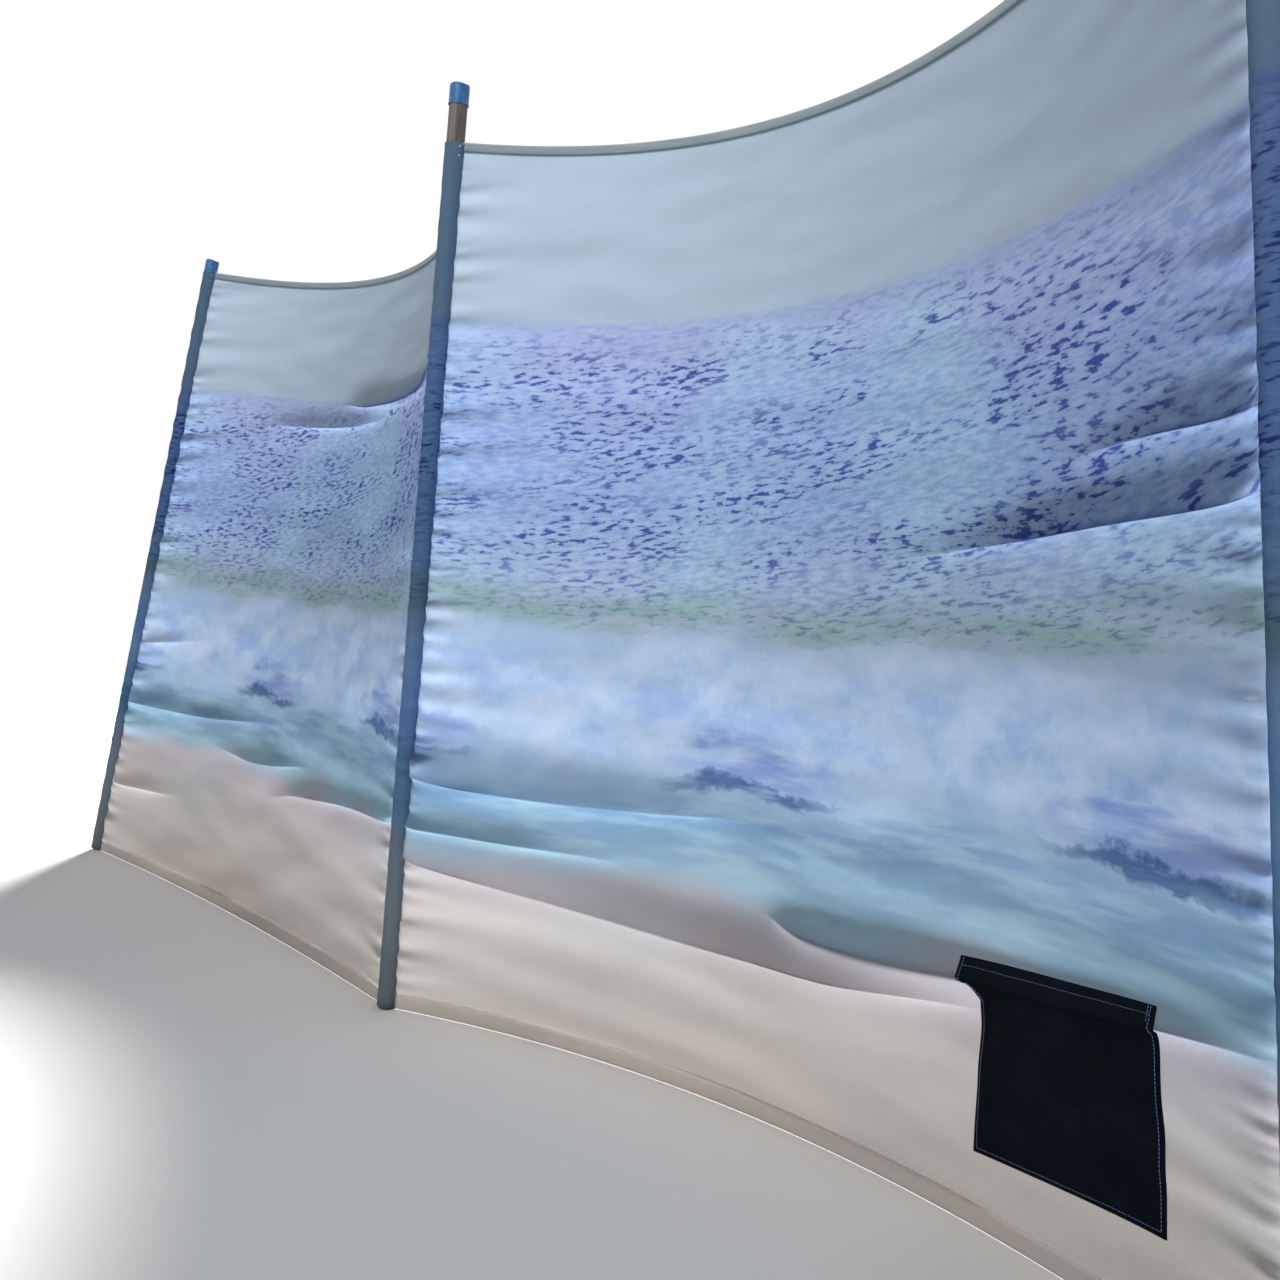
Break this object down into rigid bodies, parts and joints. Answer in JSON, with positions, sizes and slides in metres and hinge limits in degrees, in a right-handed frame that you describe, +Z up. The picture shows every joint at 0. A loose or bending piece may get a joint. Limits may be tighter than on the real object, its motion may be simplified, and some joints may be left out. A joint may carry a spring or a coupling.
{
  "type": "beach windbreak",
  "caption": "Row of windbreak cloth bays on capped wooden poles, bellied by the wind, with bound top edges, pole sleeves, hems and a small front pocket.",
  "frame": {"origin": "middle pole's flat ground-level face, on that pole's axis", "axes": "+X along the row to the right seen from the front, +Y to the sheltered back that the cloth bellies towards, +Z up"},
  "size_m": [4.7383, 0.4537, 1.227],
  "materials": {
    "pole_wood": "planed softwood dowel, unvarnished",
    "cap_plastic": "moulded, softly glossy",
    "printed_cloth": "plain-weave polyester with a printed seaside colour wash",
    "sleeve_cloth": "plain-weave polyester, doubled round the pole",
    "binding_tape": "woven bias tape, folded and stitched",
    "pocket_cloth": "coated woven nylon with pale stitching"
  },
  "bodies": {
    "root": {"pole_1": "pole_wood", "sleeve_1": "sleeve_cloth", "pole_cap_1": "cap_plastic", "pole_2": "pole_wood", "sleeve_2": "sleeve_cloth", "pole_cap_2": "cap_plastic", "pole_3": "pole_wood", "sleeve_3": "sleeve_cloth", "pole_cap_3": "cap_plastic", "pole_4": "pole_wood", "sleeve_4": "sleeve_cloth", "pole_cap_4": "cap_plastic", "pole_5": "pole_wood", "sleeve_5": "sleeve_cloth", "pole_cap_5": "cap_plastic", "panel_1": "printed_cloth", "top_binding_1": "binding_tape", "bottom_hem_1": "printed_cloth", "panel_2": "printed_cloth", "top_binding_2": "binding_tape", "bottom_hem_2": "printed_cloth", "panel_3": "printed_cloth", "top_binding_3": "binding_tape", "bottom_hem_3": "printed_cloth", "panel_4": "printed_cloth", "top_binding_4": "binding_tape", "bottom_hem_4": "printed_cloth", "pocket": "pocket_cloth", "pocket_flap": "pocket_cloth"}
  },
  "joints": []
}
